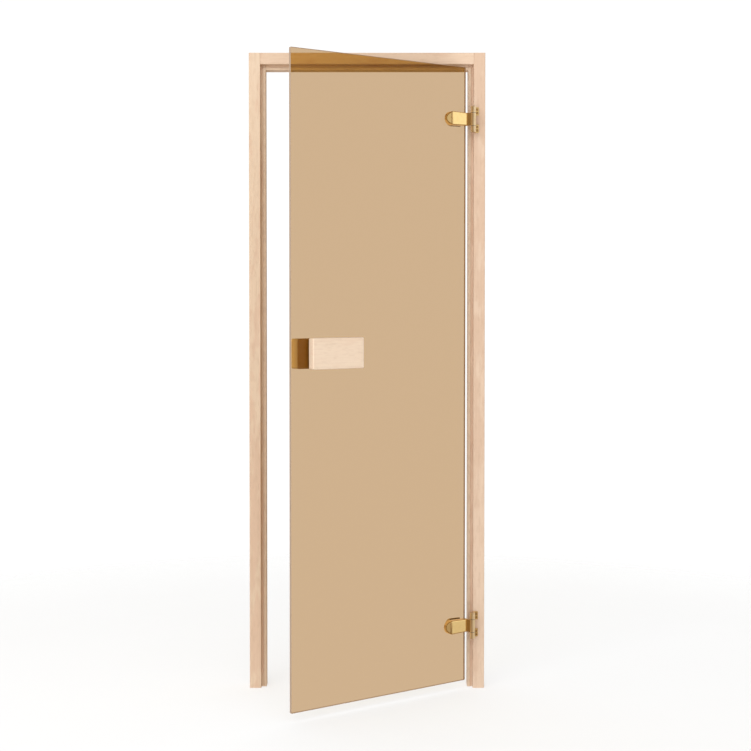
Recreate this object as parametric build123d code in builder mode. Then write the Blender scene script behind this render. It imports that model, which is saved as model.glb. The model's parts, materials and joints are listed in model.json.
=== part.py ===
from build123d import *
from math import cos, radians, sin
import os

# Sauna door: a three-sided rebated wood frame, and a bronze glass leaf on two barrel hinges.
# Millimetres. X runs along the wall towards the hinge side, Y goes through the wall into the
# sauna and Z is up. The origin is on the wall face of the hinge jamb, at the floor, halfway
# through the frame. The leaf is modelled as it stands: swung open towards the outside.

# Frame
FRAME_WIDTH = 700
FRAME_HEIGHT = 1890
FRAME_DEPTH = 60
FACE_WIDTH = 34  # front face of each member
STOP_WIDTH = 15  # stop beyond the front face, which the leaf closes against
REBATE_DEPTH = 20
TIMBER_ROUNDING = 2

# Seal on the face of the stop
SEAL_WIDTH = 8
SEAL_THICKNESS = 2.5
SEAL_ROUNDING = 1

# Glass leaf
GLASS_THICKNESS = 8
SIDE_GAP = 7
TOP_GAP = 9
FLOOR_GAP = 25
CLOSED_GAP = 5  # shut leaf to seal
GLASS_CORNER = 3
GLASS_ARRIS = 0.8
REST_OPENING = 35.8  # degrees

# Hinges
UPPER_HINGE_DROP = 199  # upper hinge's centre below the top of the frame
LOWER_HINGE_HEIGHT = 193  # lower hinge's centre above the floor
AXIS_INSET = 3  # axis beyond the jamb's front face, over the opening
AXIS_PROUD = 25.5  # axis in front of the frame
BARREL_DIAMETER = 15
BARREL_LENGTH = 75
LEAF_KNUCKLE_LENGTH = 37
PIN_DIAMETER = 7
PIN_CAP = 1  # domed end of the pin beyond the barrel
PIN_CAP_ROUNDING = 0.8
WASHER_THICKNESS = 1
WASHER_INSET = 0.5
RUNNING_GAP = 0.1  # leaf knuckle to washer
PIN_CLEARANCE = 0.05

# Bracket on the jamb
BRACKET_THICKNESS = 3
BRACKET_EDGE = 0.5  # bracket back from the jamb's edge
BRACKET_STRIP = 4  # strip behind the barrel
EAR_WIDTH = 10
EAR_HEIGHT = 24
EAR_CORNER = 2
EAR_SCREW_SPACING = 10
EAR_SCREW_DIAMETER = 3.6
EAR_SCREW_HEAD = 7

# Clamp on the glass
CLAMP_LENGTH = 81.5  # from the glass edge, as is the back clamp's
CLAMP_ROOT_HEIGHT = 37
CLAMP_NOSE_HEIGHT = 40
CLAMP_THICKNESS = 18.5
CLAMP_NOSE_SLOPE = 13.5  # length of the sloped nose
CLAMP_NOSE_DROP = 11
CLAMP_ROUNDING = 1.2
ARM_THICKNESS = 10  # at the plate
ARM_END_THICKNESS = 9  # at the barrel
BACK_CLAMP_LENGTH = 65
BACK_CLAMP_THICKNESS = 8
BACK_CLAMP_STOP_GAP = 5  # shut back clamp to the stop's edge
GASKET_THICKNESS = 1.5
GASKET_INSET = 1
CLAMP_SCREW_DIAMETER = 6
CLAMP_SCREW_REACH = 11  # into the front clamp
CLAMP_SCREW_PLACES = (26, 50)  # from the glass edge
CLAMP_HEAD_DIAMETER = 10
CLAMP_HEAD_HEIGHT = 4
GLASS_HOLE_DIAMETER = 12

# Handle blocks
HANDLE_CENTRE_HEIGHT = 1012
HANDLE_LENGTH = 172
HANDLE_HEIGHT = 86
HANDLE_THICKNESS = 21
HANDLE_FREE_EDGE = 59  # block to the free edge of the glass
BACK_HANDLE_HEIGHT = 83
BACK_HANDLE_THICKNESS = 32
BACK_HANDLE_FREE_EDGE = 27
HANDLE_CORNER = 4
HANDLE_ROUNDING = 2.5
HANDLE_BOLT_DIAMETER = 6
HANDLE_BOLT_SPACING = 100
HANDLE_BOLT_REACH = 14  # into the front block
HANDLE_HEAD_DIAMETER = 12
HANDLE_HEAD_HEIGHT = 4
HANDLE_HEAD_DEPTH = 10  # sunk into the back block
HANDLE_RING_DIAMETER = 20
HANDLE_RING_THICKNESS = 1
BOLT_CLEARANCE = 0.05

# Places in the frame
FRONT_Y = -FRAME_DEPTH / 2
STOP_Y = FRONT_Y + REBATE_DEPTH
LIP_X = -FACE_WIDTH
STOP_X = LIP_X - STOP_WIDTH
LINTEL_Z = FRAME_HEIGHT - FACE_WIDTH
STOP_Z = LINTEL_Z - STOP_WIDTH
MIDDLE_X = -FRAME_WIDTH / 2
AXIS_X = LIP_X - AXIS_INSET
AXIS_Y = FRONT_Y - AXIS_PROUD
HINGE_HEIGHTS = {"upper": FRAME_HEIGHT - UPPER_HINGE_DROP, "lower": LOWER_HINGE_HEIGHT}

# Places in the leaf: x along it from the hinge axis, negative towards the free edge, and the
# distance out from the axis, negative behind it
GLASS_EDGE = LIP_X - SIDE_GAP - AXIS_X
GLASS_WIDTH = FRAME_WIDTH - 2 * (FACE_WIDTH + SIDE_GAP)
GLASS_HEIGHT = LINTEL_Z - TOP_GAP - FLOOR_GAP
FREE_EDGE = GLASS_EDGE - GLASS_WIDTH
GLASS_BACK = AXIS_Y - (STOP_Y - SEAL_THICKNESS - CLOSED_GAP)
GLASS_FRONT = GLASS_BACK + GLASS_THICKNESS
CLAMP_BACK = GLASS_FRONT + GASKET_THICKNESS
CLAMP_FRONT = CLAMP_BACK + CLAMP_THICKNESS
BACK_CLAMP_EDGE = STOP_X - BACK_CLAMP_STOP_GAP - AXIS_X
BACK_CLAMP_FRONT = GLASS_BACK - GASKET_THICKNESS
BACK_CLAMP_BACK = BACK_CLAMP_FRONT - BACK_CLAMP_THICKNESS
CLAMP_SCREWS_X = [GLASS_EDGE - place for place in CLAMP_SCREW_PLACES]
HANDLE_X = FREE_EDGE + HANDLE_FREE_EDGE + HANDLE_LENGTH / 2
BACK_HANDLE_LENGTH = HANDLE_LENGTH + HANDLE_FREE_EDGE - BACK_HANDLE_FREE_EDGE
BACK_HANDLE_X = FREE_EDGE + BACK_HANDLE_FREE_EDGE + BACK_HANDLE_LENGTH / 2
HANDLE_BACK = GLASS_FRONT + HANDLE_RING_THICKNESS
BACK_HANDLE_FRONT = GLASS_BACK - HANDLE_RING_THICKNESS
BACK_HANDLE_BACK = BACK_HANDLE_FRONT - BACK_HANDLE_THICKNESS
HANDLE_BOLTS_X = [HANDLE_X - HANDLE_BOLT_SPACING / 2, HANDLE_X + HANDLE_BOLT_SPACING / 2]

BARREL_RADIUS = BARREL_DIAMETER / 2
PIN_RADIUS = PIN_DIAMETER / 2
FRAME_KNUCKLE_START = LEAF_KNUCKLE_LENGTH / 2 + RUNNING_GAP + WASHER_THICKNESS

ALONG = Vector(cos(radians(REST_OPENING)), sin(radians(REST_OPENING)), 0)
OUTWARD = Vector(sin(radians(REST_OPENING)), -cos(radians(REST_OPENING)), 0)
AXIS_FOOT = Vector(AXIS_X, AXIS_Y, 0)


def leaf_face(out, height=0):
    """Plane parallel to the glass, out from the hinge axis, that looks outwards."""
    return Plane(AXIS_FOOT + OUTWARD * out + Vector(0, 0, height), x_dir=ALONG, z_dir=OUTWARD)


def leaf_level(height):
    """Level plane with its origin on the hinge axis, x along the leaf and y inwards."""
    return Plane(AXIS_FOOT + Vector(0, 0, height), x_dir=ALONG, z_dir=(0, 0, 1))


def save(part, name):
    """Label a finished piece and write it as its own file."""
    part.label = name
    export_step(part, f"parts/{name}.step")


os.makedirs("parts", exist_ok=True)

# Hinge jamb: a front lip and a deeper stop behind it
with BuildPart() as hinge_jamb:
    with BuildSketch() as hinge_jamb_profile:
        with BuildLine():
            Polyline(
                (0, FRONT_Y),
                (0, -FRONT_Y),
                (STOP_X, -FRONT_Y),
                (STOP_X, STOP_Y),
                (LIP_X, STOP_Y),
                (LIP_X, FRONT_Y),
                close=True,
            )
        make_face()
        front_corners = hinge_jamb_profile.vertices().group_by(Axis.Y)[0]
        stop_corners = hinge_jamb_profile.vertices().group_by(Axis.X)[0]
        fillet(front_corners + stop_corners, TIMBER_ROUNDING)
    extrude(amount=FRAME_HEIGHT)
save(hinge_jamb.part, "jamb_hinge_side")

with BuildPart() as latch_jamb:
    mirror(hinge_jamb.part, about=Plane.YZ.offset(MIDDLE_X))
save(latch_jamb.part, "jamb_latch_side")

# Head between the jambs, cut back round their stops
with BuildPart() as head:
    with BuildSketch(Plane.XZ.offset(-FRONT_Y)):
        with Locations((MIDDLE_X, LINTEL_Z)):
            Rectangle(FRAME_WIDTH - 2 * FACE_WIDTH, FACE_WIDTH, align=(Align.CENTER, Align.MIN))
    extrude(amount=-REBATE_DEPTH)
    with BuildSketch(Plane.XZ.offset(-STOP_Y)):
        with Locations((MIDDLE_X, STOP_Z)):
            Rectangle(
                FRAME_WIDTH - 2 * (FACE_WIDTH + STOP_WIDTH),
                FACE_WIDTH + STOP_WIDTH,
                align=(Align.CENTER, Align.MIN),
            )
    extrude(amount=-(FRAME_DEPTH - REBATE_DEPTH))
    long_edges = head.edges().filter_by(Axis.X)
    fillet(long_edges.group_by(Axis.Y)[0] + long_edges.group_by(Axis.Z)[0], TIMBER_ROUNDING)
save(head.part, "head")

# Seals along the opening edge of the stop, with a rounded face towards the leaf
with BuildPart() as hinge_seal:
    with BuildSketch() as seal_profile:
        with Locations((STOP_X, STOP_Y)):
            Rectangle(SEAL_WIDTH, SEAL_THICKNESS, align=(Align.MIN, Align.MAX))
        fillet(seal_profile.vertices().group_by(Axis.Y)[0], SEAL_ROUNDING)
    extrude(amount=STOP_Z + SEAL_WIDTH)
save(hinge_seal.part, "seal_hinge_side")

with BuildPart() as latch_seal:
    mirror(hinge_seal.part, about=Plane.YZ.offset(MIDDLE_X))
save(latch_seal.part, "seal_latch_side")

with BuildPart() as head_seal:
    with BuildSketch(Plane.YZ.offset(STOP_X)) as seal_profile:
        with Locations((STOP_Y, STOP_Z)):
            Rectangle(SEAL_THICKNESS, SEAL_WIDTH, align=(Align.MAX, Align.MIN))
        fillet(seal_profile.vertices().group_by(Axis.X)[0], SEAL_ROUNDING)
    extrude(amount=-(FRAME_WIDTH - 2 * (FACE_WIDTH + STOP_WIDTH)))
save(head_seal.part, "seal_head")

# Tempered pane with ground edges, drilled for the hinges and the handle
with BuildPart() as pane:
    with BuildSketch(leaf_face(GLASS_BACK)):
        with Locations(((GLASS_EDGE + FREE_EDGE) / 2, FLOOR_GAP + GLASS_HEIGHT / 2)):
            RectangleRounded(GLASS_WIDTH, GLASS_HEIGHT, GLASS_CORNER)
        hinge_holes = [(x, z) for x in CLAMP_SCREWS_X for z in HINGE_HEIGHTS.values()]
        handle_holes = [(x, HANDLE_CENTRE_HEIGHT) for x in HANDLE_BOLTS_X]
        with Locations(*hinge_holes, *handle_holes):
            Circle(GLASS_HOLE_DIAMETER / 2, mode=Mode.SUBTRACT)
    extrude(amount=GLASS_THICKNESS)
    outward_faces = pane.faces().sort_by(Axis(AXIS_FOOT, OUTWARD))
    outlines = outward_faces[0].outer_wire().edges() + outward_faces[-1].outer_wire().edges()
    chamfer(outlines, GLASS_ARRIS)
save(pane.part, "glass_pane")


def clamp_outline(length, hinge_end, inset=0):
    """Outline of a tapered plate with a round nose, from its hinge end to its length."""
    nose_radius = CLAMP_NOSE_HEIGHT / 2 - inset
    tip = GLASS_EDGE - length + inset
    nose_start = tip + nose_radius
    taper = (CLAMP_NOSE_HEIGHT - CLAMP_ROOT_HEIGHT) / 2 / (GLASS_EDGE - nose_start)
    root = CLAMP_ROOT_HEIGHT / 2 - inset + taper * (GLASS_EDGE - hinge_end)
    with BuildSketch() as outline:
        with BuildLine():
            Line((hinge_end, -root), (hinge_end, root))
            Line((hinge_end, root), (nose_start, nose_radius))
            ThreePointArc((nose_start, nose_radius), (tip, 0), (nose_start, -nose_radius))
            Line((nose_start, -nose_radius), (hinge_end, -root))
        make_face()
    return outline.sketch


def clamp_screw_circles(diameter):
    """Circles at the clamp screws, cut from the current sketch."""
    with Locations(*[(x, 0) for x in CLAMP_SCREWS_X]):
        Circle(diameter / 2, mode=Mode.SUBTRACT)


def make_hinge(side, height):
    """One hinge: its bracket, pin and washers on the jamb, and its clamp on the glass."""
    # Bracket: two knuckles on webs, over a plate with an ear at each end
    with BuildPart() as bracket:
        foot_x = LIP_X + BRACKET_EDGE
        with BuildSketch(Plane.XY.offset(height + FRAME_KNUCKLE_START)):
            with Locations((AXIS_X, AXIS_Y)):
                Circle(BARREL_RADIUS)
            with Locations((foot_x, FRONT_Y)):
                Rectangle(BRACKET_STRIP, BRACKET_THICKNESS, align=(Align.MIN, Align.MAX))
            make_hull()
        extrude(amount=BARREL_LENGTH / 2 - FRAME_KNUCKLE_START)
        mirror(about=Plane.XY.offset(height))
        with BuildSketch(Plane.XZ.offset(-FRONT_Y)) as plate:
            with Locations((foot_x, height)):
                Rectangle(
                    BRACKET_STRIP + EAR_WIDTH,
                    BARREL_LENGTH,
                    align=(Align.MIN, Align.CENTER),
                )
            fillet(plate.vertices().group_by(Axis.X)[-1], EAR_CORNER)
            with Locations((foot_x + BRACKET_STRIP, height)):
                Rectangle(
                    EAR_WIDTH,
                    BARREL_LENGTH - 2 * EAR_HEIGHT,
                    align=(Align.MIN, Align.CENTER),
                    mode=Mode.SUBTRACT,
                )
        extrude(amount=BRACKET_THICKNESS)
        ear_x = foot_x + BRACKET_STRIP + EAR_WIDTH / 2
        ear_z = BARREL_LENGTH / 2 - EAR_HEIGHT / 2
        screw_z = [
            height + end * ear_z + step * EAR_SCREW_SPACING / 2
            for end in (-1, 1)
            for step in (-1, 1)
        ]
        with Locations(Plane.XZ.offset(-FRONT_Y + BRACKET_THICKNESS)):
            with Locations(*[(ear_x, z) for z in screw_z]):
                CounterSinkHole(EAR_SCREW_DIAMETER / 2, EAR_SCREW_HEAD / 2)
        with Locations((AXIS_X, AXIS_Y, height)):
            Cylinder(PIN_RADIUS + PIN_CLEARANCE, 2 * BARREL_LENGTH, mode=Mode.SUBTRACT)
    save(bracket.part, f"hinge_bracket_{side}")

    # Pin with a domed cap over each end of the barrel
    with BuildPart() as pin:
        with BuildSketch(Plane.XY.offset(height)):
            with Locations((AXIS_X, AXIS_Y)):
                Circle(PIN_RADIUS)
        extrude(amount=BARREL_LENGTH / 2, both=True)
        with BuildSketch(Plane.XY.offset(height + BARREL_LENGTH / 2)):
            with Locations((AXIS_X, AXIS_Y)):
                Circle(PIN_RADIUS + PIN_CAP)
        extrude(amount=PIN_CAP)
        fillet(pin.edges().group_by(Axis.Z)[-1], PIN_CAP_ROUNDING)
        mirror(about=Plane.XY.offset(height))
    save(pin.part, f"hinge_pin_{side}")

    # Plain washers, one against each knuckle of the bracket
    with BuildPart() as washers:
        with BuildSketch(Plane.XY.offset(height + FRAME_KNUCKLE_START)):
            with Locations((AXIS_X, AXIS_Y)):
                Circle(BARREL_RADIUS - WASHER_INSET)
                Circle(PIN_RADIUS + PIN_CLEARANCE, mode=Mode.SUBTRACT)
        extrude(amount=-WASHER_THICKNESS)
        mirror(about=Plane.XY.offset(height))
    save(washers.part, f"hinge_washers_{side}")

    # Outer clamp: a plate with a round, sloped nose, and an arm out to the knuckle
    with BuildPart() as clamp:
        with BuildSketch(leaf_face(CLAMP_BACK, height)):
            add(clamp_outline(CLAMP_LENGTH, GLASS_EDGE))
        extrude(amount=CLAMP_THICKNESS)
        tip = GLASS_EDGE - CLAMP_LENGTH
        with BuildSketch(leaf_level(height)):
            with BuildLine():
                Polyline(
                    (GLASS_EDGE, -CLAMP_BACK),
                    (GLASS_EDGE, -CLAMP_FRONT),
                    (tip + CLAMP_NOSE_SLOPE, -CLAMP_FRONT),
                    (tip, -CLAMP_FRONT + CLAMP_NOSE_DROP),
                    (tip, -CLAMP_BACK),
                    close=True,
                )
            make_face()
        extrude(amount=CLAMP_NOSE_HEIGHT, both=True, mode=Mode.INTERSECT)
        seat = clamp.faces().sort_by(Axis(AXIS_FOOT, OUTWARD))[0]
        rim = clamp.edges().filter_by(lambda edge: edge not in seat.edges())
        fillet(rim, CLAMP_ROUNDING)
        with BuildSketch(leaf_level(height)):
            Circle(ARM_END_THICKNESS / 2)
            with Locations((GLASS_EDGE - ARM_THICKNESS / 2, -CLAMP_FRONT)):
                Rectangle(ARM_THICKNESS, 2 * CLAMP_ROUNDING, align=(Align.CENTER, Align.MIN))
            make_hull()
            Circle(BARREL_RADIUS)
        extrude(amount=LEAF_KNUCKLE_LENGTH / 2, both=True)
        with Locations((AXIS_X, AXIS_Y, height)):
            Cylinder(PIN_RADIUS + PIN_CLEARANCE, 2 * BARREL_LENGTH, mode=Mode.SUBTRACT)
        with BuildSketch(leaf_face(CLAMP_BACK, height)):
            with Locations(*[(x, 0) for x in CLAMP_SCREWS_X]):
                Circle(CLAMP_SCREW_DIAMETER / 2 + BOLT_CLEARANCE)
        extrude(amount=CLAMP_SCREW_REACH + BOLT_CLEARANCE, mode=Mode.SUBTRACT)
    save(clamp.part, f"hinge_clamp_outer_{side}")

    # Inner clamp: a plain plate on the sauna side, counterbored for the screw heads
    with BuildPart() as back_clamp:
        with BuildSketch(leaf_face(BACK_CLAMP_BACK, height)):
            add(clamp_outline(BACK_CLAMP_LENGTH, BACK_CLAMP_EDGE))
            clamp_screw_circles(CLAMP_SCREW_DIAMETER + 2 * BOLT_CLEARANCE)
        extrude(amount=BACK_CLAMP_THICKNESS)
        back_face = back_clamp.faces().sort_by(Axis(AXIS_FOOT, OUTWARD))[0]
        fillet(back_face.outer_wire().edges(), CLAMP_ROUNDING)
        with BuildSketch(leaf_face(BACK_CLAMP_BACK, height)):
            with Locations(*[(x, 0) for x in CLAMP_SCREWS_X]):
                Circle(CLAMP_HEAD_DIAMETER / 2 + BOLT_CLEARANCE)
        extrude(amount=CLAMP_HEAD_HEIGHT, mode=Mode.SUBTRACT)
    save(back_clamp.part, f"hinge_clamp_inner_{side}")

    # Gaskets between the clamps and the glass
    for gasket_side, length, hinge_end, start in (
        ("outer", CLAMP_LENGTH, GLASS_EDGE, GLASS_FRONT),
        ("inner", BACK_CLAMP_LENGTH, BACK_CLAMP_EDGE, BACK_CLAMP_FRONT),
    ):
        with BuildPart() as gasket:
            with BuildSketch(leaf_face(start, height)):
                add(clamp_outline(length, hinge_end - GASKET_INSET, GASKET_INSET))
                clamp_screw_circles(CLAMP_SCREW_DIAMETER + 2 * BOLT_CLEARANCE)
            extrude(amount=GASKET_THICKNESS)
        save(gasket.part, f"hinge_gasket_{gasket_side}_{side}")

    # Clamp screws with hexagon sockets, driven from the sauna side
    with BuildPart() as clamp_screws:
        with BuildSketch(leaf_face(BACK_CLAMP_BACK, height)):
            with Locations(*[(x, 0) for x in CLAMP_SCREWS_X]):
                Circle(CLAMP_HEAD_DIAMETER / 2)
        extrude(amount=CLAMP_HEAD_HEIGHT)
        with BuildSketch(leaf_face(BACK_CLAMP_BACK, height)):
            with Locations(*[(x, 0) for x in CLAMP_SCREWS_X]):
                Circle(CLAMP_SCREW_DIAMETER / 2)
        extrude(amount=CLAMP_BACK + CLAMP_SCREW_REACH - BACK_CLAMP_BACK)
        with BuildSketch(leaf_face(BACK_CLAMP_BACK, height)):
            with Locations(*[(x, 0) for x in CLAMP_SCREWS_X]):
                RegularPolygon(CLAMP_SCREW_DIAMETER / 2, 6)
        extrude(amount=CLAMP_HEAD_HEIGHT / 2, mode=Mode.SUBTRACT)
    save(clamp_screws.part, f"hinge_clamp_screws_{side}")


for hinge_side, hinge_height in HINGE_HEIGHTS.items():
    make_hinge(hinge_side, hinge_height)


def handle_circles(diameter, **options):
    """Circles at the handle bolts, in the current sketch."""
    with Locations(*[(x, 0) for x in HANDLE_BOLTS_X]):
        Circle(diameter / 2, **options)


# Handle block on the outside, with blind holes for the bolts
with BuildPart() as handle:
    with BuildSketch(leaf_face(HANDLE_BACK, HANDLE_CENTRE_HEIGHT)):
        with Locations((HANDLE_X, 0)):
            RectangleRounded(HANDLE_LENGTH, HANDLE_HEIGHT, HANDLE_CORNER)
    extrude(amount=HANDLE_THICKNESS)
    front_face = handle.faces().sort_by(Axis(AXIS_FOOT, OUTWARD))[-1]
    fillet(front_face.edges(), HANDLE_ROUNDING)
    with BuildSketch(leaf_face(HANDLE_BACK, HANDLE_CENTRE_HEIGHT)):
        handle_circles(HANDLE_BOLT_DIAMETER + 2 * BOLT_CLEARANCE)
    extrude(amount=HANDLE_BOLT_REACH + BOLT_CLEARANCE, mode=Mode.SUBTRACT)
save(handle.part, "handle_outer")

# Thicker block on the sauna side, with the bolt heads sunk into it
with BuildPart() as back_handle:
    with BuildSketch(leaf_face(BACK_HANDLE_BACK, HANDLE_CENTRE_HEIGHT)):
        with Locations((BACK_HANDLE_X, 0)):
            RectangleRounded(BACK_HANDLE_LENGTH, BACK_HANDLE_HEIGHT, HANDLE_CORNER)
        handle_circles(HANDLE_BOLT_DIAMETER + 2 * BOLT_CLEARANCE, mode=Mode.SUBTRACT)
    extrude(amount=BACK_HANDLE_THICKNESS)
    back_face = back_handle.faces().sort_by(Axis(AXIS_FOOT, OUTWARD))[0]
    fillet(back_face.outer_wire().edges(), HANDLE_ROUNDING)
    with BuildSketch(leaf_face(BACK_HANDLE_BACK, HANDLE_CENTRE_HEIGHT)):
        handle_circles(HANDLE_HEAD_DIAMETER + 2 * BOLT_CLEARANCE)
    extrude(amount=HANDLE_HEAD_DEPTH + HANDLE_HEAD_HEIGHT, mode=Mode.SUBTRACT)
save(back_handle.part, "handle_inner")

# Handle bolts, driven from the sauna side
with BuildPart() as handle_bolts:
    head_start = BACK_HANDLE_BACK + HANDLE_HEAD_DEPTH
    with BuildSketch(leaf_face(head_start, HANDLE_CENTRE_HEIGHT)):
        handle_circles(HANDLE_HEAD_DIAMETER)
    extrude(amount=HANDLE_HEAD_HEIGHT)
    with BuildSketch(leaf_face(head_start, HANDLE_CENTRE_HEIGHT)):
        handle_circles(HANDLE_BOLT_DIAMETER)
    extrude(amount=HANDLE_BACK + HANDLE_BOLT_REACH - head_start)
    with BuildSketch(leaf_face(head_start, HANDLE_CENTRE_HEIGHT)):
        with Locations(*[(x, 0) for x in HANDLE_BOLTS_X]):
            RegularPolygon(HANDLE_BOLT_DIAMETER / 2, 6)
    extrude(amount=HANDLE_HEAD_HEIGHT / 2, mode=Mode.SUBTRACT)
save(handle_bolts.part, "handle_bolts")

# Soft rings that keep the wood off the glass, one on each side of it at each bolt
with BuildPart() as handle_rings:
    for ring_start in (GLASS_FRONT, BACK_HANDLE_FRONT):
        with BuildSketch(leaf_face(ring_start, HANDLE_CENTRE_HEIGHT)):
            handle_circles(HANDLE_RING_DIAMETER)
            handle_circles(HANDLE_BOLT_DIAMETER + 2 * BOLT_CLEARANCE, mode=Mode.SUBTRACT)
        extrude(amount=HANDLE_RING_THICKNESS)
save(handle_rings.part, "handle_rings")
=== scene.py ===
"""The looks of a glass sauna door: finishes, outer clamps, screws, floor, light and camera."""

import json
import logging
import math
from dataclasses import dataclass, field
from enum import Enum

import bmesh
import bpy
from mathutils import Matrix, Vector


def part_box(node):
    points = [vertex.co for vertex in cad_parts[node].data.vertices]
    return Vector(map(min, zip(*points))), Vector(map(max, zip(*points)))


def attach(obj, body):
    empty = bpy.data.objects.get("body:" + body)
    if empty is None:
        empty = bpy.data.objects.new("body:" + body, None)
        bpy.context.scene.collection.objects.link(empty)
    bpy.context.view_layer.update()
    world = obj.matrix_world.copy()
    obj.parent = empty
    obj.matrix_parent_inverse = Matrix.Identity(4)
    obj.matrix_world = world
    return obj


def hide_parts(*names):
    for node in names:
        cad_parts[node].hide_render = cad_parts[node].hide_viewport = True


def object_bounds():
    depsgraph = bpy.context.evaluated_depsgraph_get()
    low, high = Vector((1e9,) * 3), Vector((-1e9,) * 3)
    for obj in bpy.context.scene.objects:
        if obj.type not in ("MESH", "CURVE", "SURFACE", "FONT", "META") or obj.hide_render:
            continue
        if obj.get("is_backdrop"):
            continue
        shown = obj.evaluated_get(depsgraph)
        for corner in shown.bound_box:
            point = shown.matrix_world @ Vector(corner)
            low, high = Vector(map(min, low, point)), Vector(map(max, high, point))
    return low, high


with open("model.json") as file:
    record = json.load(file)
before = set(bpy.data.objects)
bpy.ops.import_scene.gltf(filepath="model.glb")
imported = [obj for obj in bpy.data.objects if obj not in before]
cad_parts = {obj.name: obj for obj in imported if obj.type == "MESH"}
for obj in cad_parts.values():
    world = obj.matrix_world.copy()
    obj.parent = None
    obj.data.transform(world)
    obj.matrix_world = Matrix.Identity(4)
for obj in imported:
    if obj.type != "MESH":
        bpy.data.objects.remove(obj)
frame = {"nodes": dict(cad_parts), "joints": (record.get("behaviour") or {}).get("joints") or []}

MILLIMETRE = 0.001
WELD = 1e-6  # Points nearer than this are one point, in metres.
SHARP_ANGLE = math.radians(35)  # Edges that bend more than this look sharp.
NOISE_RANGE = (0.3, 0.7)  # Values that noise seldom leaves.
SENSOR_WIDTH = 36.0  # The camera's, in millimetres.
SWING = frame["joints"][0]
LEAF_OPENING = math.radians(-SWING["range_deg"][0])
LEAF_ALONG = Vector((math.cos(LEAF_OPENING), math.sin(LEAF_OPENING), 0))
LEAF_OUTWARD = Vector((math.sin(LEAF_OPENING), -math.cos(LEAF_OPENING), 0))
UP = Vector((0, 0, 1))
OUTSIDE = Vector((0, -1, 0))

Colour = tuple[float, float, float]
Socket = bpy.types.NodeSocket

log = logging.getLogger("sauna_door")


class Body(Enum):
    """The two bodies that the joint holds together."""

    FRAME = "frame"
    LEAF = "leaf"


class HingePlace(Enum):
    """Which of the two hinges."""

    UPPER = "upper"
    LOWER = "lower"


class Board(Enum):
    """How a board lies: the directions across it, through it and along its grain."""

    UPRIGHT = (Vector((1, 0, 0)), Vector((0, 1, 0)), UP)
    LEVEL = (UP, Vector((0, 1, 0)), Vector((1, 0, 0)))
    ON_LEAF = (UP, LEAF_OUTWARD, LEAF_ALONG)


class Bench:
    """A node tree, with short calls that add and join its nodes."""

    def __init__(self, tree: bpy.types.NodeTree) -> None:
        """Takes a tree to work on.

        Args:
            tree: The tree.
        """
        self.tree = tree

    def add(self, kind: str, **settings: object) -> bpy.types.Node:
        """Adds a node.

        Args:
            kind: The node's type, without its ShaderNode prefix.
            **settings: Properties of the node, by name.

        Returns:
            The new node.
        """
        node = self.tree.nodes.new("ShaderNode" + kind)
        for key, value in settings.items():
            setattr(node, key, value)
        return node

    def feed(self, target: Socket, source: object) -> None:
        """Gives an input its value.

        Args:
            target: The input.
            source: An output to join to it, or a constant.
        """
        if isinstance(source, bpy.types.NodeSocket):
            self.tree.links.new(source, target)
        else:
            target.default_value = source

    def math(self, operation: str, *values: object) -> Socket:
        """Adds a Math node.

        Args:
            operation: What it works out, such as MULTIPLY.
            *values: Its inputs in order, as outputs or numbers.

        Returns:
            The result.
        """
        node = self.add("Math", operation=operation)
        for target, value in zip(node.inputs, values):
            self.feed(target, value)
        return node.outputs[0]

    def remap(self, value: Socket, low: float, high: float, start: float, end: float) -> Socket:
        """Maps a range smoothly onto another.

        Args:
            value: The value to map.
            low: Value that gives start.
            high: Value that gives end.
            start: Result at and below low.
            end: Result at and above high.

        Returns:
            The mapped value.
        """
        node = self.add("MapRange", interpolation_type="SMOOTHSTEP")
        for target, source in zip(node.inputs, (value, low, high, start, end)):
            self.feed(target, source)
        return node.outputs[0]

    def blend(self, share: Socket, first: object, second: object) -> Socket:
        """Mixes two colours.

        Args:
            share: How much of the second colour shows, from 0 to 1.
            first: A colour, or an output that gives one.
            second: The other colour.

        Returns:
            The mixed colour.
        """
        node = self.add("Mix", data_type="RGBA")
        self.feed(node.inputs[0], share)
        for target, source in zip((node.inputs[6], node.inputs[7]), (first, second)):
            self.feed(target, source if isinstance(source, bpy.types.NodeSocket) else (*source, 1))
        return node.outputs[2]

    def facing(self, vector: Socket, direction: Vector) -> Socket:
        """Gives how far a vector goes in a direction.

        Args:
            vector: The vector.
            direction: The direction, of length 1.

        Returns:
            The distance.
        """
        dot = self.add("VectorMath", operation="DOT_PRODUCT")
        self.feed(dot.inputs[0], vector)
        self.feed(dot.inputs[1], direction)
        return dot.outputs["Value"]

    def stretched(self, vector: Socket, scale: Vector) -> Socket:
        """Scales a vector by a different factor in each direction.

        Args:
            vector: The vector to scale.
            scale: Factor for each of its three parts.

        Returns:
            The scaled vector.
        """
        node = self.add("VectorMath", operation="MULTIPLY")
        self.feed(node.inputs[0], vector)
        self.feed(node.inputs[1], scale)
        return node.outputs[0]

    def noise(self, vector: Socket, scale: float, detail: float = 2.0) -> Socket:
        """Adds smooth noise, about 0.5 on average.

        Args:
            vector: Where it is read.
            scale: How many of its waves go into a unit.
            detail: How many finer waves lie over it.

        Returns:
            The noise.
        """
        node = self.add("TexNoise")
        self.feed(node.inputs["Vector"], vector)
        self.feed(node.inputs["Scale"], scale)
        self.feed(node.inputs["Detail"], detail)
        return node.outputs["Fac"]


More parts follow.
